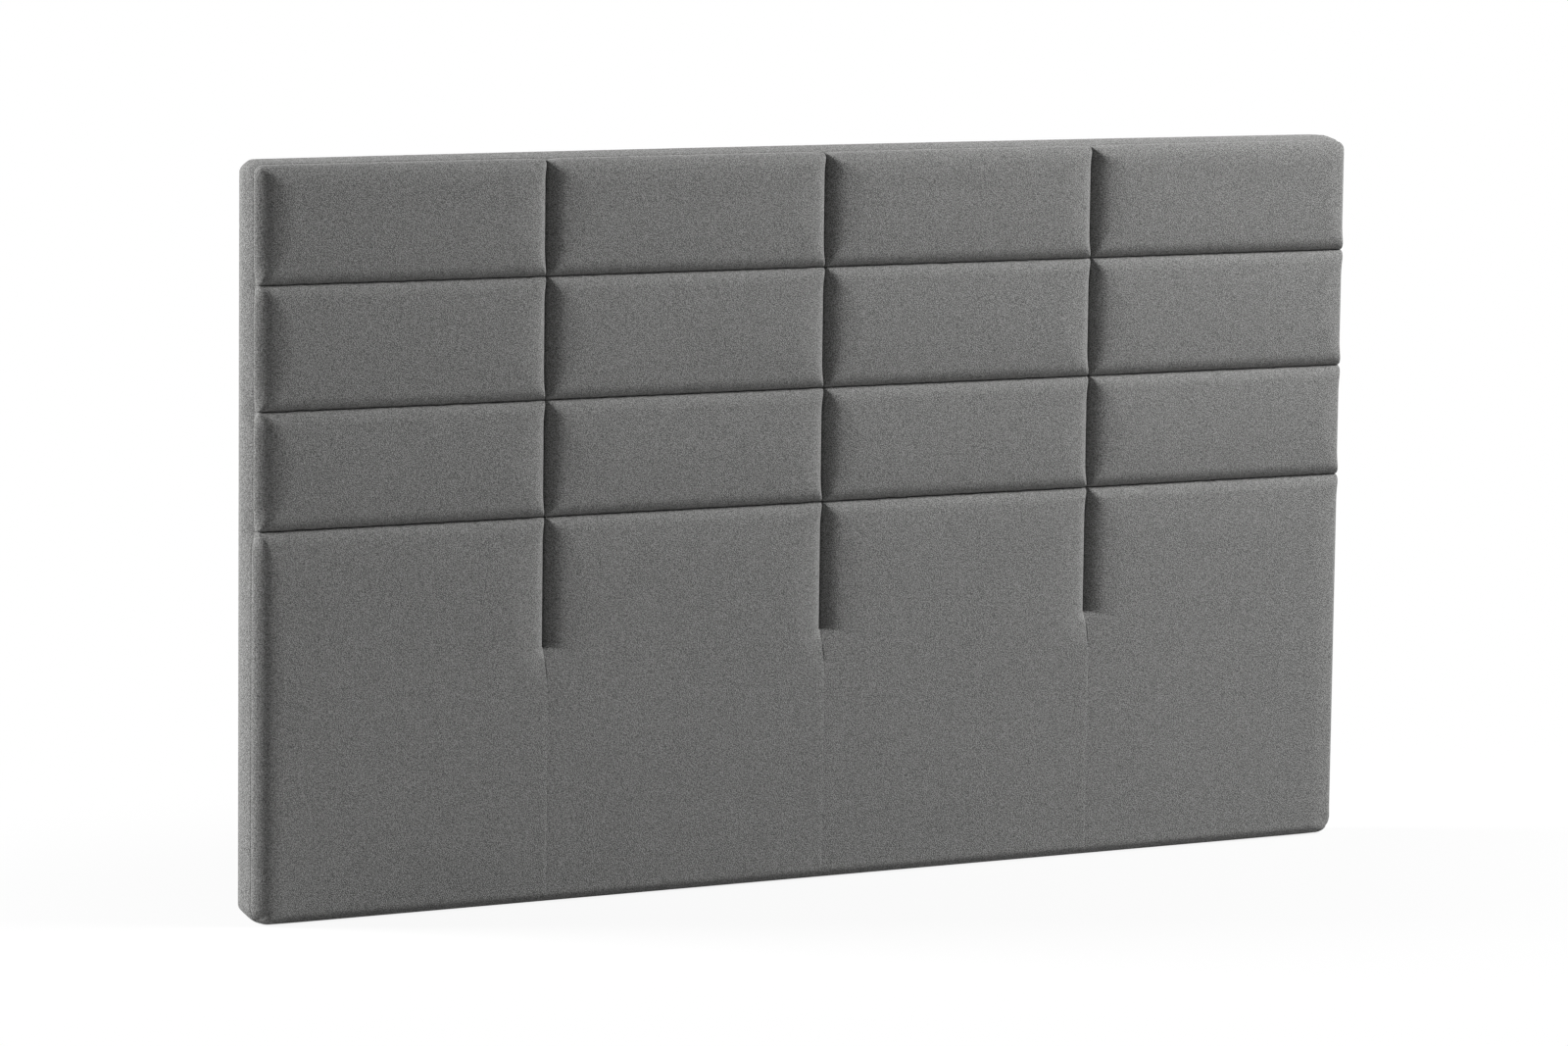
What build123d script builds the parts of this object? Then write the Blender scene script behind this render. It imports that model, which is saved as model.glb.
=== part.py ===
from build123d import *
from math import atan, degrees, hypot, sqrt
import os

# Upholstered headboard for a double bed, in millimetres.
# X runs along the width, +Z up, and the padded front faces -Y.
# The origin is at the middle of the bottom face.

# Overall size and the grid of sewn panels
width = 1800
height = 1060
column_count = 4
top_row_height = 174
second_row_height = 175
third_row_height = 166
channel_below_seam = 178

# Padding and its fabric
foam_thickness = 34
fabric = 1.6
lip_radius = 24
cross_lip_radius = 14
cross_crown_drop = 6
cross_crown_run = 80
seam_lap = 1.5
seam_bevel = 1.2
seam_gap = 0.3

# Border band and the wadding under it
wadding = 5
back_edge_round = 5
turn_in = 40
bottom_join_inset = 70

# Softwood frame and its face panel
frame_depth = 22
rail_height = 60
stile_width = 60
panel_thickness = 3.2
corner_block_leg = 55

# Mounting boards with their threaded inserts
board_depth = 18
board_height = 280
board_clearance = 10
bolt_side_inset = 225
bolt_spacing_z = 200
barrel_bore_radius = 3.4
barrel_radius = 5
barrel_length = 12
flange_radius = 11
flange_thickness = 1.6

# Frame screws. Hidden hardware is drawn with flat sides round its axis.
hardware_sides = 8
screw_length = 100
screw_radius = 2.4
screw_head_radius = 4.8
screw_head_height = 2.8
screw_inset = 10
screw_pitch = 20

# Dust cover on the back
dust_cover = 0.6
dust_cover_inset = 15
dust_cover_corner = 16
dust_cover_hole_radius = 9

# Allowance by which every cut passes the surface it goes through, step by which a lip starts ahead
# of the face that it turns, and reach within which an edge is found
overrun = 10
lip_lead = 0.05
reach = 0.01

# Planes across the depth, from the back to the front
thickness = dust_cover + fabric + frame_depth + panel_thickness + foam_thickness + fabric
y_back = thickness / 2
y_band_back = y_back - dust_cover
y_frame_back = y_band_back - fabric
y_frame_front = y_frame_back - frame_depth
y_panel_front = y_frame_front - panel_thickness
y_front = y_panel_front - foam_thickness - fabric
y_seam = y_front + lip_radius + seam_lap
floor_depth = y_panel_front - y_front + overrun

# Lines of the sewn grid
column_width = width / column_count
column_lines = [i * column_width - width / 2 for i in range(column_count + 1)]
seam_1 = height - top_row_height
seam_2 = seam_1 - second_row_height
seam_3 = seam_2 - third_row_height
row_lines = [height, seam_1, seam_2, seam_3, 0]
crown_runs = [cross_crown_run, second_row_height / 2, third_row_height / 2, cross_crown_run]
channel_end = seam_3 - channel_below_seam
outline_radius = lip_radius
frame_inset = fabric + wadding
fold_bevel = (2 - sqrt(2)) * (back_edge_round - fabric)


def slab(inset, y_from, y_to):
    """Rounded rectangle, smaller than the outline by the inset all round, between two depths."""
    size = (width - 2 * inset, height - 2 * inset)
    at = Plane(origin=(0, y_from, height / 2), x_dir=(1, 0, 0), z_dir=(0, -1, 0))
    return extrude(at * RectangleRounded(*size, outline_radius - inset), y_from - y_to)


def block(x_from, x_to, y_from, y_to, z_from, z_to):
    """Square-edged block between two corners."""
    size = (x_to - x_from, y_to - y_from, z_to - z_from)
    middle = ((x_from + x_to) / 2, (y_from + y_to) / 2, (z_from + z_to) / 2)
    return Pos(*middle) * Box(*size)


def edges_at(solid, y):
    """The edges of a solid that lie in one plane across the depth."""
    return solid.edges().filter_by_position(Axis.Y, y - reach, y + reach)


def mid_arc(centre, start, end, radius):
    """Point halfway along the shorter arc from start to end."""
    across = ((start[0] + end[0]) / 2 - centre[0], (start[1] + end[1]) / 2 - centre[1])
    scale = radius / hypot(*across)
    return (centre[0] + across[0] * scale, centre[1] + across[1] * scale)


def lip_lines(radius, drop, run, skin, wall):
    """One side of a channel, seen in section, as arcs from the pad's face down to its wall.

    The first coordinate is the distance from the seam, the second the depth below the front.
    A lip of the given radius turns the pad's face into its wall. Where there is a drop, a long
    arc leads from the face to the lip. The skin is the distance inside the outer surface.
    """
    lip_centre = (radius, radius + drop)
    lip = radius - skin
    foot = (wall, radius + drop - sqrt(lip**2 - (radius - wall) ** 2))
    if not drop:
        face = (radius, skin)
        return [(face, mid_arc(lip_centre, face, foot, lip), foot)]
    crown = radius + ((run - radius) ** 2 + drop**2) / (2 * drop)
    face = (run, skin)
    toward = ((radius - run) / (crown - radius), (radius + drop - crown) / (crown - radius))
    meet = (radius + toward[0] * lip, radius + drop + toward[1] * lip)
    long_arc = (face, mid_arc((run, crown), face, meet, crown - skin), meet)
    return [long_arc, (meet, mid_arc(lip_centre, meet, foot, lip), foot)]


def path_edges(steps):
    """Edges along a list of steps, where two points make a line and three an arc."""
    return [Line(*step) if len(step) == 2 else ThreePointArc(*step) for step in steps]


def row_space(skin, wall):
    """All that lies in front of the rows of pads, and the level channels between them."""
    steps = []
    place = (height + overrun, skin)
    for seam, run_above, run_below in zip(row_lines[1:-1], crown_runs, crown_runs[1:]):
        above = lip_lines(cross_lip_radius, cross_crown_drop, run_above, skin, wall)
        below = lip_lines(cross_lip_radius, cross_crown_drop, run_below, skin, wall)
        if place[0] - seam - run_above > reach:
            steps.append((place, (seam + run_above, skin)))
        steps += [tuple((seam + z, depth) for z, depth in arc) for arc in above]
        foot_depth = above[-1][-1][1]
        upper_floor, lower_floor = (seam + wall, floor_depth), (seam - wall, floor_depth)
        steps.append(((seam + wall, foot_depth), upper_floor))
        steps.append((upper_floor, lower_floor))
        steps.append((lower_floor, (seam - wall, foot_depth)))
        steps += [tuple((seam - z, depth) for z, depth in arc[::-1]) for arc in below[::-1]]
        place = (seam - run_below, skin)
    corners = [place, (-overrun, skin), (-overrun, -overrun), (height + overrun, -overrun)]
    corners.append((height + overrun, skin))
    steps += list(zip(corners, corners[1:]))
    at = Plane(origin=(width / 2 + overrun, y_front, 0), x_dir=(0, 0, 1), z_dir=(-1, 0, 0))
    return extrude(at * make_face(path_edges(steps)), width + 2 * overrun, dir=at.z_dir)


def channel_half(radius, skin, wall):
    """Half of an upright channel in section, open at the front, with its slit down to the floor."""
    arc = lip_lines(radius, 0, radius, skin, wall)[0]
    face, foot = arc[0], arc[-1]
    corners = [foot, (wall, floor_depth), (0, floor_depth), (0, -overrun), (radius, -overrun), face]
    return make_face(path_edges([arc, *zip(corners, corners[1:])]))


def upright_channel(x, skin, wall):
    """Channel along an upright seam, from the top edge down to a lip across its end."""
    half = channel_half(lip_radius, skin, wall)
    end_z = channel_end - lip_radius
    at = Plane(origin=(x, y_front - lip_lead, end_z), x_dir=(1, 0, 0), z_dir=(0, 0, 1))
    run = extrude(at * (half + mirror(half, Plane.YZ)), height - end_z + overrun, dir=at.z_dir)
    across = Plane(origin=(x, y_front - lip_lead, channel_end), x_dir=(0, 0, -1), z_dir=(1, 0, 0))
    end = extrude(across * half, lip_radius, dir=across.z_dir, both=True)
    above = block(
        x - lip_radius,
        x + lip_radius,
        y_front - overrun - lip_lead,
        y_front + floor_depth,
        channel_end,
        height + overrun,
    )
    return run & (end + above)


def flat_seam(x, wall):
    """Shallow crease, with its slit, where two tall panels are sewn edge to edge below the channel."""
    at = Plane(origin=(x, y_front - lip_lead, -overrun), x_dir=(1, 0, 0), z_dir=(0, 0, 1))
    half = channel_half(seam_bevel, 0, wall)
    face = at * (half + mirror(half, Plane.YZ))
    return extrude(face, channel_end + overrun, dir=at.z_dir)


def padding(skin, wall):
    """The padded front, down to the face panel: its outer surface, or the foam inside the fabric."""
    y_top = y_front - lip_lead + skin
    x_side = width / 2 - skin
    front = block(-x_side, x_side, y_top, y_seam, skin, height - skin)
    rolled = edges_at(front, y_top) + front.edges().filter_by(Axis.Y)
    front = fillet(rolled, lip_radius - skin)
    if not skin:
        front = chamfer(edges_at(front, y_seam), seam_bevel)
    body = front + slab(fabric, y_panel_front, y_seam)
    body -= row_space(skin, wall)
    for x in column_lines[1:-1]:
        body -= upright_channel(x, skin, wall)
        if not skin:
            body -= flat_seam(x, wall)
    return body


row_names = ["top", "second", "third", "tall"]
nodes = {}


def grid_name(pad):
    """Row and column of a pad, as in top_1, counted from the left."""
    centre = pad.center()
    row = sum(centre.Z < line for line in row_lines[1:-1])
    column = sum(centre.X > line for line in column_lines[1:-1])
    return f"{row_names[row]}_{column + 1}"


# Foam: one pad behind each small panel, and a lower slab slotted from its top edge.
foam = padding(fabric, fabric)
for pad in foam.solids():
    name = "slab_lower" if pad.bounding_box().size.X > width / 2 else grid_name(pad)
    nodes[f"foam_{name}"] = pad

# Front cover: sixteen fabric panels that wrap the foam and tuck into the channels.
for pad in padding(0, seam_gap / 2).solids():
    nodes[f"cover_{grid_name(pad)}"] = pad - foam

# Border band: one strip over the sides and the top, a second along the bottom.
# Both are turned in over the back of the frame.
band_outside = slab(0, y_band_back, y_seam)
band_outside = fillet(edges_at(band_outside, y_band_back), back_edge_round)
band_outside = chamfer(edges_at(band_outside, y_seam), seam_bevel)
band_inside = slab(fabric, y_frame_back, y_seam - overrun)
band_inside = chamfer(edges_at(band_inside, y_frame_back), fold_bevel)
window_size = (width - 2 * turn_in, height - 2 * turn_in)
window = block(
    -window_size[0] / 2,
    window_size[0] / 2,
    y_frame_back - overrun,
    y_back + overrun,
    turn_in,
    height - turn_in,
)
band = band_outside - band_inside - window
join_x = width / 2 - bottom_join_inset
bottom_part = block(-join_x, join_x, y_seam - overrun, y_back, -overrun, turn_in)
nodes["border_band"] = band - bottom_part
nodes["border_band_bottom"] = band & bottom_part

# Softwood frame with rounded outer corners.
frame_room = slab(frame_inset, y_frame_back, y_frame_front)
edge_wadding = slab(fabric, y_frame_back, y_panel_front)
edge_wadding = chamfer(edges_at(edge_wadding, y_frame_back), fold_bevel)
nodes["edge_wadding"] = edge_wadding - slab(frame_inset, y_back, y_panel_front - overrun)
frame_half = width / 2 - frame_inset
z_rail_low = frame_inset + rail_height
z_rail_high = height - frame_inset - rail_height

# Screws: two at each corner, one at each end of an inner stile, driven in from the rails.
stile_edge = frame_half - stile_width
screw_steps = (screw_inset, screw_inset + screw_pitch)
screw_xs = [side * (stile_edge + step) for side in (-1, 1) for step in screw_steps]
screw_xs += column_lines[1:-1]
y_frame_mid = (y_frame_back + y_frame_front) / 2


def flat_sided(radius):
    """Section of a hidden round bar, drawn as a polygon round it."""
    return RegularPolygon(radius, hardware_sides, major_radius=False)


head_slope = degrees(atan((screw_head_radius - screw_radius) / screw_head_height))
screw = extrude(flat_sided(screw_head_radius), -screw_head_height, taper=head_slope)
screw += extrude(flat_sided(screw_radius), -screw_length)
screws = [Pos(x, y_frame_mid, height - frame_inset) * screw for x in screw_xs]
screws += [Pos(x, y_frame_mid, frame_inset) * Rot(180, 0, 0) * screw for x in screw_xs]
nodes["frame_screws"] = Compound(screws)


def frame_piece(x_from, x_to, z_from, z_to):
    """Frame timber between two corners, rounded where it meets the outline and drilled for its screws."""
    timber = block(x_from, x_to, y_frame_front, y_frame_back, z_from, z_to) & frame_room
    for one in screws:
        at = one.bounding_box().center()
        if x_from < at.X < x_to:
            timber -= one
    return timber


nodes["frame_top_rail"] = frame_piece(-frame_half, frame_half, z_rail_high, height - frame_inset)
nodes["frame_bottom_rail"] = frame_piece(-frame_half, frame_half, frame_inset, z_rail_low)
stile_spans = {
    "frame_left_stile": (-frame_half, -frame_half + stile_width),
    "frame_right_stile": (frame_half - stile_width, frame_half),
}
for name, x in zip(("left", "centre", "right"), column_lines[1:-1]):
    stile_spans[f"frame_inner_stile_{name}"] = (x - stile_width / 2, x + stile_width / 2)
for name, span in stile_spans.items():
    nodes[name] = frame_piece(*span, z_rail_low, z_rail_high)

# Glued corner blocks, cut across their corner.
corner_blocks = []
for side_x in (-1, 1):
    for side_z, z in ((1, z_rail_low), (-1, z_rail_high)):
        x = side_x * stile_edge
        across = (x - side_x * corner_block_leg, z)
        along = (x, z + side_z * corner_block_leg)
        corner = make_face(Plane.XZ * Polyline((x, z), across, along, close=True))
        corner_blocks.append(extrude(Pos(0, y_frame_back, 0) * corner, frame_depth, dir=(0, -1, 0)))
nodes["corner_blocks"] = Compound(corner_blocks)

# Face panel.
nodes["face_panel"] = slab(frame_inset, y_frame_front, y_panel_front)

# Mounting boards, flush with the frame's back, each between an outer and an inner stile.
board_bottom = z_rail_low + corner_block_leg + board_clearance
bolt_z = board_bottom + board_height / 2
bolt_x = width / 2 - bolt_side_inset
bolt_places = [
    (side_x * bolt_x, bolt_z + side_z * bolt_spacing_z / 2)
    for side_x in (-1, 1)
    for side_z in (-1, 1)
]
y_board_front = y_frame_back - board_depth


def bar(section, x, z, y_from, y_to):
    """Bar of one section along the depth between two planes."""
    at = Plane(origin=(x, y_from, z), x_dir=(1, 0, 0), z_dir=(0, -1, 0))
    return extrude(at * section, y_from - y_to)


y_barrel_back = y_board_front + barrel_length
y_flange_front = y_board_front - flange_thickness
inner_stile_edge = column_lines[-2] + stile_width / 2
for name, side_x in (("left", -1), ("right", 1)):
    x_ends = sorted((side_x * inner_stile_edge, side_x * stile_edge))
    board = block(*x_ends, y_board_front, y_frame_back, board_bottom, board_bottom + board_height)
    for x, z in bolt_places:
        board -= bar(flat_sided(barrel_radius), x, z, y_back, y_board_front)
    nodes[f"mounting_board_{name}"] = board

# Threaded inserts: a barrel in the board and a flange on its hidden face.
inserts = []
for x, z in bolt_places:
    insert = bar(flat_sided(barrel_radius), x, z, y_barrel_back, y_board_front)
    insert += bar(flat_sided(flange_radius), x, z, y_board_front, y_flange_front)
    bore = bar(Circle(barrel_bore_radius), x, z, y_back, y_flange_front - overrun)
    inserts.append(insert - bore)
nodes["t_nuts"] = Compound(inserts)

# Dust cover over the back, holed at the inserts.
cover_size = (width - 2 * dust_cover_inset, height - 2 * dust_cover_inset)
at_back = Plane(origin=(0, y_back, height / 2), x_dir=(1, 0, 0), z_dir=(0, -1, 0))
sheet = extrude(at_back * RectangleRounded(*cover_size, dust_cover_corner), dust_cover)
for x, z in bolt_places:
    sheet -= bar(Circle(dust_cover_hole_radius), x, z, y_back + overrun, y_band_back - overrun)
nodes["dust_cover"] = sheet

os.makedirs("parts", exist_ok=True)
for name, shape in nodes.items():
    shape.label = name
    export_step(shape, f"parts/{name}.step")
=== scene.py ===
import math

import bpy
import numpy as np
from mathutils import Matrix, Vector


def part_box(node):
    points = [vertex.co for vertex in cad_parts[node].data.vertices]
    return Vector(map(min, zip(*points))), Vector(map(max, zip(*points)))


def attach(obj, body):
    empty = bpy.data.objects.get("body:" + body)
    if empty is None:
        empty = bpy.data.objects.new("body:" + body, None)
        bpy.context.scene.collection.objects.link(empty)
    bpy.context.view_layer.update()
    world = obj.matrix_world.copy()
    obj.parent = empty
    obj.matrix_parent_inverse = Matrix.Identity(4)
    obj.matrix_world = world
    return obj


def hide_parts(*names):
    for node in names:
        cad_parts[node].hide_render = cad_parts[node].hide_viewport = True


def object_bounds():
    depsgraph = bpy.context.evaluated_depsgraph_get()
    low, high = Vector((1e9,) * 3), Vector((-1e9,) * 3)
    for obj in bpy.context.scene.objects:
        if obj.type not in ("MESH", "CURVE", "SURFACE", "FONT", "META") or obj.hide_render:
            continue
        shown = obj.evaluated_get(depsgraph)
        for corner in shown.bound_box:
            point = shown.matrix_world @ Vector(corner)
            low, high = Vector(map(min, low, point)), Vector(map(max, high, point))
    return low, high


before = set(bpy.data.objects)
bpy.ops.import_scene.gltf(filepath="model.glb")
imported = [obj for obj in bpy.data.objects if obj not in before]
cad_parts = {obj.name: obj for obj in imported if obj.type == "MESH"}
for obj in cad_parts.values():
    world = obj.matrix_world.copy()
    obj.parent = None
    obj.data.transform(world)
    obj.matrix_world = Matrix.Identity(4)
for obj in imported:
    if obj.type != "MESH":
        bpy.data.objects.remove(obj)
cad_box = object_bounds()

# Softwood frame: two rails and five stiles of planed pine, screwed together and braced with
# glued corner blocks. The grain runs along each timber, so rails and stiles have a finish each.


class Field:
    """A socket in a material. Arithmetic on it, with numbers or other fields, adds Math nodes."""

    def __init__(self, tree, socket):
        self.tree = tree
        self.socket = socket

    def node(self, kind, settings, sockets, output=0):
        """Adds a node: its settings are set first, then its sockets' values or links."""
        made = self.tree.nodes.new(kind)
        for key, value in settings.items():
            setattr(made, key, value)
        for key, value in sockets.items():
            if isinstance(value, Field):
                self.tree.links.new(value.socket, made.inputs[key])
            else:
                made.inputs[key].default_value = value
        return Field(self.tree, made.outputs[output])

    def math(self, operation, first, second=0.0):
        return self.node("ShaderNodeMath", {"operation": operation}, {0: first, 1: second})

    def __add__(self, other):
        return self.math("ADD", self, other)

    def __radd__(self, other):
        return self.math("ADD", other, self)

    def __sub__(self, other):
        return self.math("SUBTRACT", self, other)

    def __rsub__(self, other):
        return self.math("SUBTRACT", other, self)

    def __mul__(self, other):
        return self.math("MULTIPLY", self, other)

    def __rmul__(self, other):
        return self.math("MULTIPLY", other, self)

    def sine(self):
        return self.math("SINE", self)

    def bands(self, pitch):
        """Sine bands along this length, one to each pitch."""
        return (self * (2.0 * math.pi / pitch)).sine()

    def part(self, axis):
        """The vector's part along X, Y or Z, counted from 0."""
        return self.node("ShaderNodeSeparateXYZ", {}, {0: self}, output=axis)

    def stretched(self, scale):
        """The vector with each of its parts multiplied by its own number."""
        return self.node("ShaderNodeVectorMath", {"operation": "MULTIPLY"}, {0: self, 1: scale})

    def turned(self, angles):
        """The vector turned round the three axes."""
        return self.node("ShaderNodeMapping", {}, {"Vector": self, "Rotation": angles})

    def noise(self, scale, detail=2.0, roughness=0.5):
        """Soft noise over this vector, from 0 to 1 about a mean of a half."""
        values = {"Vector": self, "Scale": scale, "Detail": detail, "Roughness": roughness}
        return self.node("ShaderNodeTexNoise", {"noise_dimensions": "3D"}, values)

    def coloured(self, low, high):
        """Mix of two colours by this field."""
        values = {0: self, 6: (*low, 1), 7: (*high, 1)}
        return self.node("ShaderNodeMix", {"data_type": "RGBA"}, values, output=2)

    def feeds(self, shader, name):
        self.tree.links.new(self.socket, shader.inputs[name])


def new_finish(name):
    """A material with its shader and the piece's own coordinates."""
    material = bpy.data.materials.new(name)
    material.use_nodes = True
    tree = material.node_tree
    shader = tree.nodes["Principled BSDF"]
    place = Field(tree, tree.nodes.new("ShaderNodeTexCoord").outputs["Object"])
    return material, shader, place


def raise_surface(shader, height, strength, distance):
    """Bump from a height field, with its depth in metres."""
    values = {"Strength": strength, "Distance": distance, "Height": height}
    height.node("ShaderNodeBump", {}, values).feeds(shader, "Normal")


def softwood(name, along):
    """Pine: rings as the sine of slow noise drawn out along the timber, and fine fibre along it."""
    material, shader, place = new_finish(name)
    rings = (place.stretched(along).noise(26.0, 3.0) * 62.0).sine()
    fibre = place.stretched([8.0 * share for share in along]).noise(120.0, 4.0)
    tone = rings * 0.22 + fibre * 0.5 + 0.25
    tone.coloured((0.42, 0.25, 0.12), (0.76, 0.56, 0.33)).feeds(shader, "Base Color")
    (0.82 - fibre * 0.25).feeds(shader, "Roughness")
    raise_surface(shader, fibre, 0.35, 0.0004)
    return material


def finish_nodes(material, *names):
    """Gives CAD nodes that keep their shape a finer material."""
    for name in names:
        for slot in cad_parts[name].material_slots:
            slot.material = material


rail_pine = softwood("rail_pine", (0.05, 1.0, 1.0))
stile_pine = softwood("stile_pine", (1.0, 1.0, 0.05))
finish_nodes(rail_pine, "frame_top_rail", "frame_bottom_rail", "corner_blocks")
finish_nodes(stile_pine, "frame_left_stile", "frame_right_stile")
finish_nodes(stile_pine, *(f"frame_inner_stile_{side}" for side in ("left", "centre", "right")))

# Frame screws and threaded inserts: steel with a bright zinc plate.
# The inserts are pressed into the mounting boards from their hidden side.


def zinc_plate():
    """Bright plate: pale steel clouded by soft noise, with fine scratches."""
    material, shader, place = new_finish("zinc_plate")
    cloud = place.noise(90.0, 3.0)
    scratch = place.stretched((1.0, 0.06, 1.0)).noise(2400.0, 2.0)
    tone = cloud * 0.6 + scratch * 0.4
    tone.coloured((0.50, 0.51, 0.53), (0.74, 0.74, 0.73)).feeds(shader, "Base Color")
    (cloud * 0.22 + 0.24).feeds(shader, "Roughness")
    shader.inputs["Metallic"].default_value = 1.0
    raise_surface(shader, scratch, 0.2, 0.00005)
    return material


zinc = zinc_plate()
finish_nodes(zinc, "frame_screws", "t_nuts")

# Mounting boards: sanded plywood let in between the stiles, flush with the frame's back.
# Each holds two inserts, for the bolts of legs or of wall brackets.


def plywood():
    """Birch plywood: plies as bands across the depth, seen at the edges, and a pale face grain."""
    material, shader, place = new_finish("birch_plywood")
    ply_pitch = 0.0072
    grain = place.stretched((0.06, 1.0, 1.0)).noise(260.0, 4.0)
    tone = grain * 0.7 + place.part(1).bands(ply_pitch) * 0.12 + 0.15
    tone.coloured((0.38, 0.24, 0.12), (0.76, 0.59, 0.38)).feeds(shader, "Base Color")
    (0.78 - grain * 0.2).feeds(shader, "Roughness")
    raise_surface(shader, grain, 0.3, 0.0003)
    return material


finish_nodes(plywood(), "mounting_board_left", "mounting_board_right")

# Face panel: thin brown hardboard, stapled over the front of the frame.
# It carries the foam and keeps it from sinking in between the timbers.


def hardboard():
    """Pressed fibre: brown speckle of fine noise over slow clouds."""
    material, shader, place = new_finish("brown_hardboard")
    speck = place.noise(1400.0, 3.0, 0.7)
    tone = speck * 0.6 + place.noise(14.0, 3.0) * 0.4
    tone.coloured((0.16, 0.085, 0.04), (0.40, 0.24, 0.13)).feeds(shader, "Base Color")
    (speck * 0.3 + 0.5).feeds(shader, "Roughness")
    raise_surface(shader, speck, 0.3, 0.0003)
    return material


finish_nodes(hardboard(), "face_panel")

# Upholstery fabric: a plain weave of mid grey yarn, flecked lighter and darker along the threads.
# The pads' covers and the border band are cut from it.


def upholstery():
    """Grey cloth: flecks, slubs drawn out along warp and weft, and a weave of crossed threads.

    The weave is the product of two sines, along lengths that wander with slow noise. The flecks'
    noise is turned askew, because its own grid would show on a flat face."""
    material, shader, place = new_finish("grey_upholstery")
    thread_pitch, wander = 0.0042, 0.004
    askew = (0.61, 0.37, 0.83)
    x, y, z = (place.part(axis) for axis in range(3))
    across = (x + y + place.noise(9.0) * wander).bands(thread_pitch)
    upward = (z + place.noise(11.0) * wander).bands(thread_pitch)
    fleck = place.turned(askew).noise(900.0, 0.0)
    warp = place.stretched((1.0, 1.0, 0.2)).turned(askew).noise(1200.0, 0.0)
    weft = place.stretched((0.2, 0.2, 1.0)).turned(askew).noise(1200.0, 0.0)
    slubs = warp * 0.7 + weft * 1.1 - 0.9
    cloud = place.noise(30.0, 2.0) - 0.5
    yarn = (fleck - 0.5) * 4.4 + slubs + cloud * 0.12 + across * upward * 0.05
    (yarn + 0.5).coloured((0.102, 0.102, 0.100), (0.310, 0.310, 0.304)).feeds(shader, "Base Color")
    shader.inputs["Roughness"].default_value = 0.95
    shader.inputs["Sheen Weight"].default_value = 0.1
    shader.inputs["Sheen Roughness"].default_value = 0.6
    shader.inputs["Specular IOR Level"].default_value = 0.2
    raise_surface(shader, yarn, 0.5, 0.0005)
    return material


cloth = upholstery()

# Pads: foam wrapped in the fabric, in three rows of pillows over a row of tall panels. Each is
# crowned towards its seams, rolls down into the upright channels and is sewn to its neighbours
# at their floor. Below the channels the tall panels are sewn edge to edge.
front = cad_box[0].y
panel_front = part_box("face_panel")[0].y
half_width = cad_box[1].x
full_height = cad_box[1].z
row_names = ("top", "second", "third", "tall")

# How far inside its lines each pad ends, how deep its seams lie, how far its walls tuck in under
# the outline, and how far in from an edge its face moves with that edge.
seam_clearance = 0.00002
seam_depth = 0.0245
tuck = 0.0034
edge_reach = 0.045

# The photograph has the three cross seams this much higher than the solids.
row_rise = (0.0032, 0.0040, 0.0046)


def line_between(first, second, axis, end):
    """The sewn line midway between two covers, by the first one's low (0) or high (1) face."""
    return (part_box(f"cover_{first}")[end][axis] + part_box(f"cover_{second}")[1 - end][axis]) / 2.0


column_lines = [line_between(f"top_{k}", f"top_{k + 1}", 0, 1) for k in (1, 2, 3)]
column_lines = [-half_width, *column_lines, half_width]
row_lines = [line_between(f"{a}_1", f"{b}_1", 2, 0) for a, b in zip(row_names, row_names[1:])]
row_lines = [full_height, *(line + rise for line, rise in zip(row_lines, row_rise)), 0.0]

# An edge's form is its lip's width, its roll's depth, its crown's drop and its crown's run.
level_seam = (0.020, 0.014, 0.005, 0.080)
channel_left_side = (0.020, 0.0170, 0.0072, 0.060)
channel_right_side = (0.028, 0.0165, 0.0085, 0.062)
outline_left = (0.023, 0.0096, 0.0146, 0.060)
outline_left_tall = (0.023, 0.0128, 0.0110, 0.040)
outline_right = (0.013, 0.0166, 0.0070, 0.050)
outline_top = (0.021, 0.0156, 0.0080, 0.046)
outline_bottom = (0.0020, 0.0116, 0.0125, 0.0155)

# The bottom's lip is wider at its two corners, and falls off to its own width over a reach. The
# grid is close over a width between the two.
corner_lip, corner_lip_reach = 0.009, 0.020
bottom_lip_grid = 0.006

# An upright edge's lip is pinched to a share of its width where a level line meets it, and the
# crown's run to a share of its own.
pinched_share, pinched_run, pinch_length = 0.10, 0.35, 0.042

# Channels: where they end, how that end slants, the grid's lines there, and for each side how
# fast it slides in below the end and how wide the sewn seam's dip is. The sewn seam's tail, next
# to the end, dips deeper and bends sideways.
channel_end = 0.367
closing_drop, closing_slant = 0.001, 0.2
closing_grid = np.linspace(-0.017, 0.003, 21)
channel_left_close = (0.80, 0.021)
channel_right_close = (1.15, 0.050)
sewn_dip, tail_dip = 0.0006, 0.0018
tail_length, tail_bend, channel_shift = 0.062, 0.0044, 0.0002

# The perimeter seam's inset from the outline, what the rows of pillows and the end of each seam
# add to it, and how far along the rim that pinch reaches. The top's very rim turns down.
side_inset, top_inset, bottom_inset = 0.0020, 0.0046, 0.0003
left_added, right_added, top_pinch = (0.0026, 0.0034), (0.0006, 0.0010), 0.0024
side_pinch_reach, top_pinch_reach = 0.011, 0.013
top_rim_fall, top_rim_reach = 0.0009, 0.0012

# The outline's corners, (-1, 1) being the top left one: the radius of each arc, and how far in
# from the perimeter seam the pad's lines are still rounded by it.
corner_radius = {(-1, 1): 0.018, (1, 1): 0.020, (-1, -1): 0.026, (1, -1): 0.028}
corner_reach = {(-1, 1): 0.006, (1, 1): 0.040, (-1, -1): 0.018, (1, -1): 0.040}

rng = np.random.default_rng(7)


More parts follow.
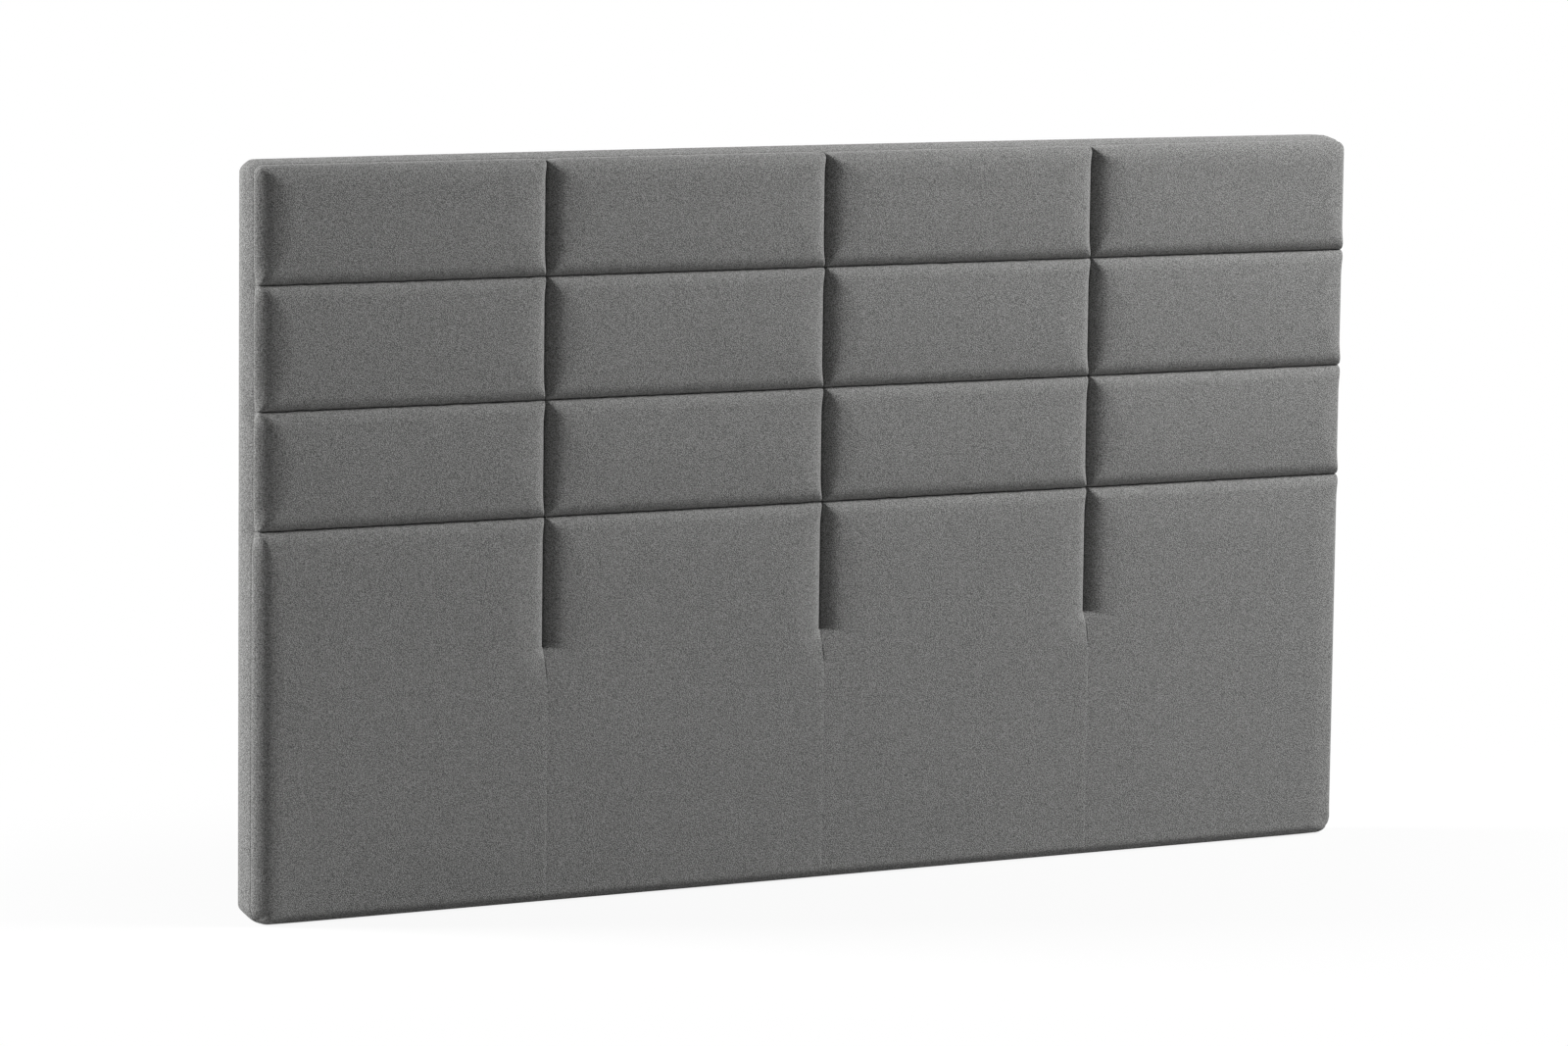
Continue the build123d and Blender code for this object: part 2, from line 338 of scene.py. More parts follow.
def wave_set(length, count=7):
    """Plane waves about one length, with random headings and starts."""
    heading = rng.uniform(0.0, 2.0 * np.pi, count)
    pace = 2.0 * np.pi / (length * rng.uniform(0.7, 1.5, count))
    return heading, pace, rng.uniform(0.0, 2.0 * np.pi, count)


def ripple(waves, u, v):
    """Sum of the set's sine waves at the places u, v, with a spread of about one."""
    heading, pace, start = waves
    u, v = np.broadcast_arrays(u, v)
    phase = pace * (u[..., None] * np.cos(heading) + v[..., None] * np.sin(heading)) + start
    return np.sin(phase).sum(axis=-1) * np.sqrt(2.0 / len(heading)) / 1.6


# Unevenness: each kind's waves and height, how far the gathers and the wander reach from a level
# seam, and the margin over which the lumps and the gathers fade at a pad's edge.
foam_lumps = wave_set(0.21)
seam_gathers = wave_set(0.017)
seam_wander = wave_set(0.034)
lump_height, lump_margin = 0.00045, 0.04
gather_height, gather_reach, gather_margin = 0.00045, 0.009, 0.002
wander_height, wander_reach = 0.0003, 0.014


def ease(value, start, end):
    """Smooth step from 0 at the start to 1 at the end."""
    t = np.clip((value - start) / (end - start), 0.0, 1.0)
    return t * t * (3.0 - 2.0 * t)


def drawn_in(x, z, out_x, out_z):
    """How far the perimeter seam lies inside the outline: its inset, and a fall-off from each seam.

    Sides, top and bottom mix by the squares of the outward direction, as round a corner. The
    rows' share eases in at the lowest cross seam, and the sides' inset eases out at the floor."""
    pinch_z = sum(np.exp(-np.abs(z - line) / side_pinch_reach) for line in row_lines[1:-1])
    pinch_x = sum(np.exp(-np.abs(x - line) / top_pinch_reach) for line in column_lines[1:-1])
    rows = ease(z, row_lines[3] - 0.03, row_lines[3] + 0.01)
    left, right = (added[0] * rows + added[1] * pinch_z for added in (left_added, right_added))
    side = (side_inset + np.where(x < 0.0, left, right)) * ease(z, -0.02, 0.05)
    top = top_inset + top_pinch * pinch_x
    up, down = np.clip(out_z, 0.0, None), np.clip(-out_z, 0.0, None)
    return side * out_x**2 + top * up**2 + bottom_inset * down**2


def rolled(away, lip, roll, drop, run):
    """Depth at a distance from a seam: a parabola of the drop over the run, plus a quarter ellipse
    as wide as the lip and as deep as the roll."""
    crown = drop * np.clip(1.0 - away / run, 0.0, 1.0) ** 2
    t = np.clip(1.0 - away / lip, 0.0, 1.0)
    return crown + roll * (1.0 - np.sqrt(1.0 - t * t))


def joined(*depths):
    """The depth under several edges: the cube root of their cubes' sum, at most the seam's."""
    return np.minimum(np.cbrt(sum(depth**3 for depth in depths)), seam_depth)


def narrowed(form, z, lines):
    """An upright edge's form, with its lip and crown pinched at each of the level lines.

    The share of the lip that is left rises with the distance as a quarter of a sine wave."""
    lip, roll, drop, run = form
    away = np.min([np.abs(z - line) for line in lines], axis=0)
    risen = np.sin(np.clip(away / pinch_length, 0.0, 1.0) * np.pi / 2.0)
    share = pinched_share + (1.0 - pinched_share) * risen
    return lip * share, roll, drop, run * (pinched_run + (1.0 - pinched_run) * share)


def tail_share(z):
    """What is left of the tail, by a power curve from 1 at the channel's end to 0 at the tail's."""
    return np.clip(1.0 - (channel_end - z) / tail_length, 0.0, 1.0) ** 1.3


def channel_depths(form, away, z, slide, sewn_run):
    """Depths by an upright seam of the tall row: the channel's own, and the flat seam's parabola.

    The channel closes along a slant, below which its form slides in to the seam with the height
    below. The flat seam is a little deeper and wider where the channel runs out into it."""
    below = np.clip(channel_end - closing_drop - closing_slant * away - z, 0.0, None)
    tail = tail_share(z)
    run = sewn_run * (0.4 + 0.6 * tail)
    sewn = (sewn_dip + tail_dip * tail) * np.clip(1.0 - away / run, 0.0, 1.0) ** 2
    return rolled(away + slide * below, *form), sewn * (z < channel_end)


def seam_bend(z):
    """Sideways shift of an upright seam: full at the channel's end, easing off along the tail."""
    above = ease(z, channel_end - 0.014, channel_end + 0.001)
    return channel_shift * above - tail_bend * tail_share(z) * (1.0 - above)


def stations(start, end, lip_start, lip_end, step=0.003, lip_steps=14):
    """Places across a pad: equal turns of the arc over each lip, and equal steps between."""
    turn = 1.0 - np.cos(np.linspace(0.0, np.pi / 2.0, lip_steps))
    near = start + lip_start * turn
    far = (end - lip_end * turn)[::-1]
    count = max(2, round((far[0] - near[-1]) / step) + 1)
    return np.concatenate([near, np.linspace(near[-1], far[0], count)[1:-1], far])


def round_corner(p, q, radius, rim, reach):
    """Bends the distances p and q from two edges so that the edges meet in an arc.

    Each square ring of equal distance gets a round corner. The corners share a centre as far in
    as the rim, and from there their radius falls evenly to almost none over the reach. Gives the
    new distances, where the ring is bent, and the outward direction along the arc."""
    least = 1e-4
    ring = np.minimum(p, q)
    bend = (radius - np.minimum(ring, rim)) * np.clip(1.0 - (ring - rim) / reach, least, 1.0)
    along = np.maximum(p, q) - ring
    share = np.where(p <= q, 1.0 - along / bend, 1.0 + along / bend)
    angle = np.clip(share, 0.0, 2.0) * np.pi / 4.0
    inside = along < bend
    p_new = np.where(inside, ring + bend * (1.0 - np.cos(angle)), p)
    q_new = np.where(inside, ring + bend * (1.0 - np.sin(angle)), q)
    return p_new, q_new, inside, np.cos(angle), np.sin(angle)


def pad_sides(row, column):
    """Whether a pad's left, right, bottom and top edges lie on the outline."""
    return column == 0, column == 3, row == 3, row == 0


def pad_forms(on_left, on_right, on_bottom, on_top):
    """The forms of a pad's left, right, bottom and top edges."""
    outer_left = outline_left_tall if on_bottom else outline_left
    return (
        outer_left if on_left else channel_right_side,
        outline_right if on_right else channel_left_side,
        outline_bottom if on_bottom else level_seam,
        outline_top if on_top else level_seam,
    )


def pad_depth(x, z, away, level, on, forms):
    """The face's depth: its four edges' forms joined, slow lumps of foam, and gathers that die
    away exponentially with the distance from the level seams."""
    on_left, on_right, on_bottom, _ = on
    away_left, away_right, away_bottom, away_top = away
    form_left, form_right, form_bottom, form_top = forms
    form_left = narrowed(form_left, z, row_lines[:-1])
    form_right = narrowed(form_right, z, row_lines[1:-1] if on_right else row_lines[:-1])
    if on_bottom and (on_left or on_right):
        side = away_left if on_left else away_right
        lip = form_bottom[0] + corner_lip * np.exp(-side / corner_lip_reach)
        form_bottom = (lip, *form_bottom[1:])
    depths = [rolled(away_bottom, *form_bottom), rolled(away_top, *form_top)]
    for on_side, side, form, close in (
        (on_left, away_left, form_left, channel_right_close),
        (on_right, away_right, form_right, channel_left_close),
    ):
        if on_bottom and not on_side:
            depths += channel_depths(form, side, z, *close)
        else:
            depths.append(rolled(side, *form))
    nearest = np.min(away, axis=0)
    lumps = lump_height * ripple(foam_lumps, x, z) * np.clip(nearest / lump_margin, 0.0, 1.0)
    gather = np.exp(-level / gather_reach) * np.clip(nearest / gather_margin, 0.0, 1.0)
    return joined(*depths) + lumps + gather_height * ripple(seam_gathers, x, z * 0.3) * gather


def pad_moved(x, z, away, level, on):
    """The grid's places moved near their edges, less and less over a smooth step of the reach.

    Outline edges are drawn in to the perimeter seam, and the top one turns down at its very rim.
    Upright seams bend at the channels' ends, and level seams wander slightly."""
    on_left, on_right, on_bottom, on_top = on
    near_left, near_right, near_bottom, near_top = (1.0 - ease(a, 0.0, edge_reach) for a in away)
    moved_x = np.zeros_like(x)
    moved_z = wander_height * ripple(seam_wander, x, 0.0 * x) * np.exp(-level / wander_reach)
    for sign, on_side, near in ((1.0, on_left, near_left), (-1.0, on_right, near_right)):
        inset = drawn_in(x, z, 1.0, 0.0) if on_side else sign * seam_bend(z)
        moved_x = moved_x + sign * inset * near
    for sign, on_side, near in ((1.0, on_bottom, near_bottom), (-1.0, on_top, near_top)):
        if on_side:
            moved_z = moved_z + sign * drawn_in(x, z, 0.0, -sign) * near
    if on_top:
        moved_z = moved_z - top_rim_fall * np.exp(-away[3] / top_rim_reach)
    return x + moved_x, z + moved_z


def pad_surface(row, column):
    """The pad's face as x, depth and z over a grid, with the outward direction at its rim.

    The grid is closer over the lips and where the channels close. It is moved at its edges, and
    bent to an arc where it has one of the outline's corners."""
    on_left, on_right, on_bottom, on_top = on = pad_sides(row, column)
    form_left, form_right, form_bottom, form_top = forms = pad_forms(*on)
    left, right = column_lines[column] + seam_clearance, column_lines[column + 1] - seam_clearance
    bottom, top = row_lines[row + 1] + seam_clearance, row_lines[row] - seam_clearance
    xs = stations(left, right, form_left[0], form_right[0])
    zs = stations(bottom, top, bottom_lip_grid if on_bottom else form_bottom[0], form_top[0])
    if on_bottom:
        zs = np.union1d(zs, channel_end + closing_grid)
    x, z = np.meshgrid(xs, zs, indexing="ij")
    away = (x - left, right - x, z - bottom, top - z)
    level = np.minimum(np.inf if on_bottom else away[2], np.inf if on_top else away[3])
    depth = pad_depth(x, z, away, level, on, forms)
    x, z = pad_moved(x, z, away, level, on)

    side, end = on_right - on_left, on_top - on_bottom
    turned_x, turned_z = np.full_like(x, side), np.full_like(z, end)
    if side and end:
        edge_x, edge_z = (right if side > 0 else left), (top if end > 0 else bottom)
        from_x, from_z = (edge_x - x) * side, (edge_z - z) * end
        radius, reach = corner_radius[side, end], corner_reach[side, end]
        p, q, bent, out_p, out_q = round_corner(from_x, from_z, radius, top_inset, reach)
        x, z = np.where(bent, edge_x - side * p, x), np.where(bent, edge_z - end * q, z)
        turned_x = np.where(bent, side * out_p, np.where(q <= p, 0.0, turned_x))
        turned_z = np.where(bent, end * out_q, np.where(p < q, 0.0, turned_z))
    return x, depth, z, turned_x, turned_z


def quads_between(near, far, closed=False):
    """Faces between two rows of point numbers, and on round to the first where they are closed."""
    quads = np.stack([near, far, np.roll(far, -1, axis=-1), np.roll(near, -1, axis=-1)], axis=-1)
    return (quads if closed else quads[..., :-1, :]).reshape(-1, 4)


def lay_mesh(name, points, faces, material):
    """An object from points and faces, in one finish, riding on the part's only body.

    Its faces are smooth, except for those with more than four corners, which close its ends."""
    mesh = bpy.data.meshes.new(name)
    mesh.from_pydata(points.tolist(), [], faces)
    mesh.polygons.foreach_set("use_smooth", [len(face) <= 4 for face in faces])
    mesh.materials.append(material)
    mesh.update()
    piece = bpy.data.objects.new(name, mesh)
    bpy.context.collection.objects.link(piece)
    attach(piece, "root")
    return piece


# The walls behind a pad's rim go back in steps: each one's fall, and its share of the tuck.
# The last step's fall stands for all the way back.
wall_steps = ((0.0003, 0.03), (0.0006, 0.13), (0.0009, 0.36), (0.0012, 1.0), (0.005, 1.0))
wall_steps = (*wall_steps, (1.0, 1.0))


def pad_piece(row, column):
    """One pad as a closed form: its face, walls that tuck in under the outline, and a flat back.

    A wall's ring of points is the rim, moved back by the step's fall, as far as the face panel,
    and in against the outward direction by its share of the tuck."""
    x, depth, z, turned_x, turned_z = pad_surface(row, column)
    on_left, on_right, on_bottom, on_top = pad_sides(row, column)
    steps_x, steps_z = x.shape[0] - 1, x.shape[1] - 1
    index = np.arange(x.size).reshape(x.shape)
    points = np.stack([x, front + depth, z], axis=-1).reshape(-1, 3)
    rim = np.concatenate([index[:-1, 0], index[-1, :-1], index[:0:-1, -1], index[0, :0:-1]])
    sides = [on_bottom, on_right, on_top, on_left]
    on_outline = np.repeat(sides, [steps_x, steps_z, steps_x, steps_z])[:, None]
    outward = np.stack([turned_x, 0.0 * x, turned_z], axis=-1).reshape(-1, 3)[rim] * on_outline
    floor = panel_front - seam_clearance
    loops, rings = [rim], []
    for fall, share in wall_steps:
        ring = points[rim] - outward * share * tuck
        ring[:, 1] = np.minimum(ring[:, 1] + fall, floor)
        loops.append(len(points) + len(rim) * len(rings) + np.arange(len(rim)))
        rings.append(ring)
    walls = [quads_between(upper, lower, closed=True) for upper, lower in zip(loops, loops[1:])]
    quads = np.concatenate([quads_between(index[:-1], index[1:]), *walls])
    faces = quads.tolist() + [loops[-1][::-1].tolist()]
    name = f"{row_names[row]}_{column + 1}"
    points = np.concatenate([points, *rings])
    piece = lay_mesh(f"pad_{name}", points, faces, cloth)
    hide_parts(f"cover_{name}", "foam_slab_lower" if row == 3 else f"foam_{name}")


for row in range(4):
    for column in range(4):
        pad_piece(row, column)

# Border band: one strip of the same fabric over the sides and the top, and a second along the
# bottom, sewn to the pads in front, drawn over wadding and stapled down behind the frame.
band_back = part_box("border_band")[1].y
frame_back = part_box("frame_top_rail")[1].y
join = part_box("border_band_bottom")[1].x
cloth_thickness = 0.0016
seam_crease = 0.0009
fullest_depth = 0.049
back_round = 0.0055
turn_in = 0.04
quarter = np.pi / 2.0

# The hem's points, each by how far it lies inside the perimeter seam and how deep from it, and
# the gathers there.
hem = ((tuck, -0.0006), (0.0018, -0.0003), (0.0007, 0.0003))
hem_gather_height, hem_gather_reach = 0.00022, 0.006

# How far the band stands out past the outline at its sides and at the top, which stands out
# less towards both ends and droops by the right one.
left_swell, right_swell, top_swell = 0.0028, 0.0018, 0.0022
top_arch, top_droop, droop_start, droop_end = 0.0016, 0.0014, 0.855, 0.885

# By corner, how far the band stands out past its arc in the middle of its depth and at the back.
# The middle's bulge is a parabola about its own place and as wide as its reach.
middle_bulge = {(-1, 1): 0.0004, (1, 1): 0.0, (-1, -1): 0.0018, (1, -1): 0.0}
back_bulge = {(-1, 1): -0.0016, (1, 1): -0.0040, (-1, -1): -0.0052, (1, -1): 0.0}
middle_place, middle_reach = 0.012, 0.019


def outline_stop(share_x, share_z, turn):
    """A stop on the outline: its shares of the half sizes, its turn, and its corner's values."""
    corner = np.sign(share_x), np.sign(share_z)
    values = (kind[corner] for kind in (corner_radius, middle_bulge, back_bulge))
    return np.array([share_x, share_z, turn, *values])


def outline_path(stretches):
    """The outline as arrays: shares of the half sizes, the outward direction, and the corner's
    radius and two bulges.

    A stretch runs evenly from one (share x, share z, turn) to the next in a number of steps."""
    parts = []
    for start, stop, count in stretches:
        t = np.linspace(0.0, 1.0, count + 1)[:-1, None]
        low, high = outline_stop(*start), outline_stop(*stop)
        parts.append(low + t * (high - low))
    parts.append(high[None])
    share_x, share_z, turn, radius, middle, back = np.concatenate(parts).T
    return share_x, share_z, np.cos(turn), np.sin(turn), radius, middle, back


def outline_at(path, inset):
    """Places on the outline moved in by the inset. Past its radius a corner is square."""
    share_x, share_z, out_x, out_z, radius = path[:5]
    kept = np.maximum(inset, radius)
    bend = np.maximum(radius - inset, 0.0)
    x = share_x * (half_width - kept) + bend * out_x
    z = full_height / 2.0 + share_z * (full_height / 2.0 - kept) + bend * out_z
    return x, z


def band_section(x, z, out_x, out_z):
    """Closed section of the band as insets and depths, for each place along it.

    Its outside starts tucked in at the seam, swells past the outline along a power curve, turns
    the back edge in a quarter ellipse and runs in over the frame. Its inside lies one cloth
    further in. The top swells by a parabola along its length and droops by the right end."""
    drawn = drawn_in(x, z, out_x, out_z)
    droop = top_droop * ease(x, droop_start, droop_end)
    side = np.where(x < 0.0, left_swell, right_swell)
    top = top_swell - top_arch * (x / half_width) ** 2 - droop
    swell = side * out_x**2 + top * np.clip(out_z, 0.0, None) ** 2
    seam = front + seam_depth + seam_crease
    fullest = front + fullest_depth
    end = band_back - back_round
    outer = [(drawn + inset, seam + depth) for inset, depth in hem]
    for t in np.linspace(0.0, 1.0, 14):
        inset = drawn - (swell + drawn) * (1.0 - (1.0 - t) ** 1.6)
        outer.append((inset, seam + 0.0012 + t * (fullest - seam)))
    outer.append((-swell + 0.0002, (fullest + end) / 2.0))
    for turn in np.linspace(0.0, quarter, 9):
        inset = 0.0006 - swell + (back_round + swell) * (1.0 - np.cos(turn))
        outer.append((inset, end + back_round * np.sin(turn)))
    outer += [(inset, band_back) for inset in (0.012, 0.022, 0.031, turn_in)]
    inner = [(turn_in, frame_back), (0.0135, frame_back)]
    bend = back_round - cloth_thickness
    for turn in np.linspace(quarter, 0.0, 5):
        inset = cloth_thickness + bend * (1.0 - np.cos(turn))
        inner.append((inset, frame_back - bend + bend * np.sin(turn)))
    inner += [(drawn + tuck, seam + 0.012), (drawn + tuck + 0.0002, seam + 0.002)]
    spread = np.zeros_like(drawn)
    insets, depths = zip(*((inset + spread, depth + spread) for inset, depth in outer + inner))
    return np.array(insets), np.array(depths)


def band_piece(name, path, node):
    """The section carried along the path and closed at its two ends.

    It is gathered slightly at the seam. A corner's bulges grow to its middle as the square of
    twice the product of the outward direction's parts, and only the outside takes them."""
    out_x, out_z = path[2], path[3]
    x, z = outline_at(path, 0.0)
    insets, depths = band_section(x, z, out_x, out_z)
    fading = np.exp(-(depths - depths[0]) / hem_gather_reach) * (insets < 0.008)
    gathers = hem_gather_height * ripple(seam_gathers, x + z, z - x) * fading
    insets = insets - gathers * (out_z > -0.5)
    hump = np.clip(1.0 - ((depths - middle_place) / middle_reach) ** 2, 0.0, 1.0)
    bulge = path[5] * hump + path[6] * ease(depths, front + seam_depth, band_back - back_round)
    insets = insets - bulge * (2.0 * out_x * out_z) ** 2 * (insets < 0.010)
    grid_x, grid_z = outline_at(path, insets)
    points = np.stack([grid_x, depths, grid_z], axis=-1).reshape(-1, 3)
    index = np.arange(depths.size).reshape(depths.shape)
    quads = quads_between(index, np.roll(index, -1, axis=0))
    faces = quads.tolist() + [index[::-1, 0].tolist(), index[:, -1].tolist()]
    piece = lay_mesh(name, points, faces, cloth)
    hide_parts(node)


def whole_outline(along, upright, corner):
    """Stretches once round the outline, from the bottom right corner, with the steps for a level
    side, an upright side and a corner."""
    turns = [-quarter, 0.0, quarter, 2.0 * quarter, 3.0 * quarter]
    corners = [(1.0, -1.0), (1.0, 1.0), (-1.0, 1.0), (-1.0, -1.0)]
    stretches = []
    for k, (place, following) in enumerate(zip(corners, corners[1:] + corners[:1])):
        steps = (upright, along)[k % 2]
        stretches.append(((*place, turns[k]), (*place, turns[k + 1]), corner))
        stretches.append(((*place, turns[k + 1]), (*following, turns[k + 1]), steps))
    return stretches


join_share = join / half_width
near_join = join_share - 0.0004
over = whole_outline(480, 280, 16)[:-1]
over.insert(0, ((join_share, -1.0, -quarter), (1.0, -1.0, -quarter), 12))
over.append(((-1.0, -1.0, 3.0 * quarter), (-join_share, -1.0, 3.0 * quarter), 12))
under = [((-near_join, -1.0, -quarter), (near_join, -1.0, -quarter), 300)]
band_piece("border_band_over", outline_path(over), "border_band")
band_piece("border_band_under", outline_path(under), "border_band_bottom")

# Edge wadding: a soft strip of white polyester fibre, laid round the frame's edge and held there
# by the band that is drawn over it.
wadding_middle = (panel_front + frame_back) / 2.0
wadding_half_depth = (frame_back - panel_front) / 2.0 - 0.0006
wadding_inset, wadding_half_thickness, wadding_lumps = 0.0052, 0.0013, 0.00035


def wadding_fill():
    """White wadding: matted fibre as noise at two scales."""
    material, shader, place = new_finish("white_wadding")
    mat = place.noise(300.0, 5.0, 0.75)
    tone = mat * 0.6 + place.noise(60.0, 2.0) * 0.4
    tone.coloured((0.62, 0.62, 0.60), (0.92, 0.92, 0.90)).feeds(shader, "Base Color")
    (mat * 0.2 + 0.75).feeds(shader, "Roughness")
    raise_surface(shader, mat, 0.8, 0.002)
    return material


def wadding_strip():
    """A closed ring: a section carried once round the outline, slightly lumpy on its outside.

    The section is a circle whose cosine and sine are raised to a small power, which squares it."""
    path = [part[:-1] for part in outline_path(whole_outline(150, 90, 10))]
    turn = np.linspace(0.0, 2.0 * np.pi, 17)[:-1, None]
    across, along = (np.sign(v) * np.abs(v) ** 0.45 for v in (np.cos(turn), np.sin(turn)))
    x, z = outline_at(path, 0.0)
    lumps = wadding_lumps * ripple(seam_wander, x, z)
    insets = wadding_inset + wadding_half_thickness * across + lumps * (across < 0.0)
    grid_x, grid_z = outline_at(path, insets)
    grid_y = wadding_middle + wadding_half_depth * along + 0.0 * grid_x
    points = np.stack([grid_x, grid_y, grid_z], axis=-1).reshape(-1, 3)
    index = np.arange(grid_x.size).reshape(grid_x.shape)
    below = np.roll(index, -1, axis=0)
    following = [np.roll(row, -1, axis=1) for row in (index, below)]
    quads = np.stack([index, *following, below], axis=-1).reshape(-1, 4)
    piece = lay_mesh("wadding_strip", points, quads.tolist(), wadding_fill())
    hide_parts("edge_wadding")


wadding_strip()

# Dust cover: one sheet of black spun-bonded cloth, stretched over the back to hide the frame,
# with a round hole at each threaded insert. Staples hold it down round its edge.
sheet_low, sheet_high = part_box("dust_cover")
sheet_thickness = 0.0006
sheet_corner = 0.016
sheet_step = 0.02
sheet_slack, sheet_wave = 0.0009, 0.00035
slack_start, slack_end = 0.026, 0.09
hole_radius = 0.009
hole_block = 0.014
hole_columns = (-0.675, 0.675)
hole_rows = (0.1716, 0.3716)


def spun_bond():
    """Black non-woven: a lattice of pressed points, as two crossed sines, over matted fibre."""
    material, shader, place = new_finish("black_spun_bond")
    dot_pitch = 0.0024
    fibre = place.noise(1500.0, 4.0, 0.7)
    x, z = place.part(0), place.part(2)
    dots = (x + z).bands(dot_pitch) * (x - z).bands(dot_pitch)
    tone = fibre * 0.7 + dots * 0.15 + 0.1
    tone.coloured((0.006, 0.006, 0.007), (0.045, 0.045, 0.048)).feeds(shader, "Base Color")
    (fibre * 0.3 + 0.55).feeds(shader, "Roughness")
    raise_surface(shader, fibre * 0.5 + dots * 0.5, 0.5, 0.0004)
    return material


def lines_between(low, high, holes):
    """Grid lines at equal steps, left out near a hole, whose block has two lines of its own."""
    edges = [hole + side * hole_block for hole in holes for side in (-1.0, 1.0)]
    even = np.linspace(low, high, round((high - low) / sheet_step) + 1)
    clear = np.array([min(abs(v - hole) for hole in holes) > hole_block + 0.004 for v in even])
    clear[[0, -1]] = True
    return np.array(sorted([*even[clear], *edges]))


def sheet_dip(x, z):
    """How far the cloth hangs in: a smooth step from its stapled edge to about 1 mm, with waves."""
    edge = np.minimum(
        np.minimum(x - sheet_low.x, sheet_high.x - x),
        np.minimum(z - sheet_low.z, sheet_high.z - z),
    )
    waves = sheet_wave * ripple(foam_lumps, x * 1.7, z * 1.7)
    return ease(edge, slack_start, slack_end) * (sheet_slack + waves)


def dust_sheet():
    """A grid over the back, given its thickness by Solidify.

    The cell over each hole is left out, and four faces join its corners to a circle of points."""
    xs = lines_between(sheet_low.x, sheet_high.x, hole_columns)
    zs = lines_between(sheet_low.z, sheet_high.z, hole_rows)
    x, z = np.meshgrid(xs, zs, indexing="ij")
    for sign_x in (-1.0, 1.0):
        for sign_z in (-1.0, 1.0):
            p = (x - sheet_low.x) if sign_x < 0 else (sheet_high.x - x)
            q = (z - sheet_low.z) if sign_z < 0 else (sheet_high.z - z)
            p_new, q_new, *_ = round_corner(p, q, sheet_corner, 0.0, sheet_corner)
            x = x - sign_x * (p_new - p)
            z = z - sign_z * (q_new - q)
    points = np.stack([x, sheet_high.y - sheet_dip(x, z), z], axis=-1).reshape(-1, 3)
    index = np.arange(x.size).reshape(x.shape)
    cells = [index[:-1, :-1], index[:-1, 1:], index[1:, 1:], index[1:, :-1]]
    cells = np.stack(cells, axis=-1)
    keep = np.ones(cells.shape[:2], dtype=bool)
    turn = quarter / 2.0 + np.linspace(0.0, 4.0 * quarter, 33)[:-1]
    circles, collars = [], []
    for hole_x in hole_columns:
        for hole_z in hole_rows:
            i = int(np.searchsorted(xs, hole_x)) - 1
            j = int(np.searchsorted(zs, hole_z)) - 1
            keep[i, j] = False
            circle_x = hole_x + hole_radius * np.cos(turn)
            circle_z = hole_z + hole_radius * np.sin(turn)
            circle_y = sheet_high.y - sheet_dip(circle_x, circle_z)
            first = len(points) + len(turn) * len(circles)
            circles.append(np.stack([circle_x, circle_y, circle_z], axis=-1))
            corners = [index[i + 1, j + 1], index[i, j + 1], index[i, j], index[i + 1, j]]
            for k, (corner, following) in enumerate(zip(corners, corners[1:] + corners[:1])):
                arc = [first + (8 * k + step) % len(turn) for step in range(9)]
                collars.append([corner, *arc, following])
    points = np.concatenate([points, *circles])
    faces = cells[keep].tolist() + collars
    piece = lay_mesh("dust_sheet", points, faces, spun_bond())
    body = piece.modifiers.new("cloth thickness", "SOLIDIFY")
    body.thickness = sheet_thickness
    body.offset = -1.0
    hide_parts("dust_cover")


dust_sheet()

# Staples: bright zinc-plated wire, driven through the dust cover into the frame, one about every
# 75 mm round its edge. Each stands a little askew, as a hand-held stapler leaves it.
staple_pitch = 0.075
staple_inset = 0.008
staple_margin = 0.03
staple_crown = 0.0105
staple_askew = 0.07
wire_width = 0.0012
wire_thickness = 0.0006


def staple_row():
    """A flat wire bent down at both ends, repeated at each place with its crown along the edge.

    The wire's section is carried along its bent line, square to the line's slope."""
    half = staple_crown / 2.0
    along = np.array([-half, -half, -half + 0.0004, 0.0, half - 0.0004, half, half])
    rise = np.array([-0.0012, 0.0001, 0.0004, 0.00045, 0.0004, 0.0001, -0.0012])
    slope = np.gradient(np.stack([along, rise], axis=-1), axis=0)
    slope /= np.linalg.norm(slope, axis=-1, keepdims=True)
    across = np.array([-1.0, 1.0, 1.0, -1.0]) * wire_width / 2.0
    out = np.array([-1.0, -1.0, 1.0, 1.0]) * wire_thickness / 2.0
    u = (along[:, None] - slope[:, 1:2] * out).ravel()
    w = (rise[:, None] + slope[:, 0:1] * out).ravel()
    v = np.tile(across, len(along))

    low_x, high_x = sheet_low.x + staple_inset, sheet_high.x - staple_inset
    low_z, high_z = sheet_low.z + staple_inset, sheet_high.z - staple_inset
    xs, zs = (
        np.linspace(low + staple_margin, high - staple_margin, round((high - low) / staple_pitch))
        for low, high in ((low_x, high_x), (low_z, high_z))
    )
    spots = [(x, z, 0.0) for z in (low_z, high_z) for x in xs]
    spots += [(x, z, quarter) for x in (low_x, high_x) for z in zs]
    spot_x, spot_z, heading = np.array(spots).T[:, :, None]
    angle = heading + rng.normal(0.0, staple_askew, len(spots))[:, None]
    x = spot_x + u * np.cos(angle) - v * np.sin(angle)
    z = spot_z + u * np.sin(angle) + v * np.cos(angle)
    points = np.stack([x, sheet_high.y + w + 0.0 * x, z], axis=-1).reshape(-1, 3)

    index = np.arange(len(u)).reshape(len(along), len(across))
    quads = quads_between(index[:-1], index[1:], closed=True)
    quads = np.concatenate([quads, [index[0], index[-1][::-1]]])
    faces = quads + (np.arange(len(spots)) * len(u))[:, None, None]
    lay_mesh("staples", points, faces.reshape(-1, 4).tolist(), zinc)


staple_row()

# Stage: a pale floor and white surroundings, two soft lamps and the photograph's camera.
# The lamps' strengths are set so that the grey cloth renders about as its colour is written.


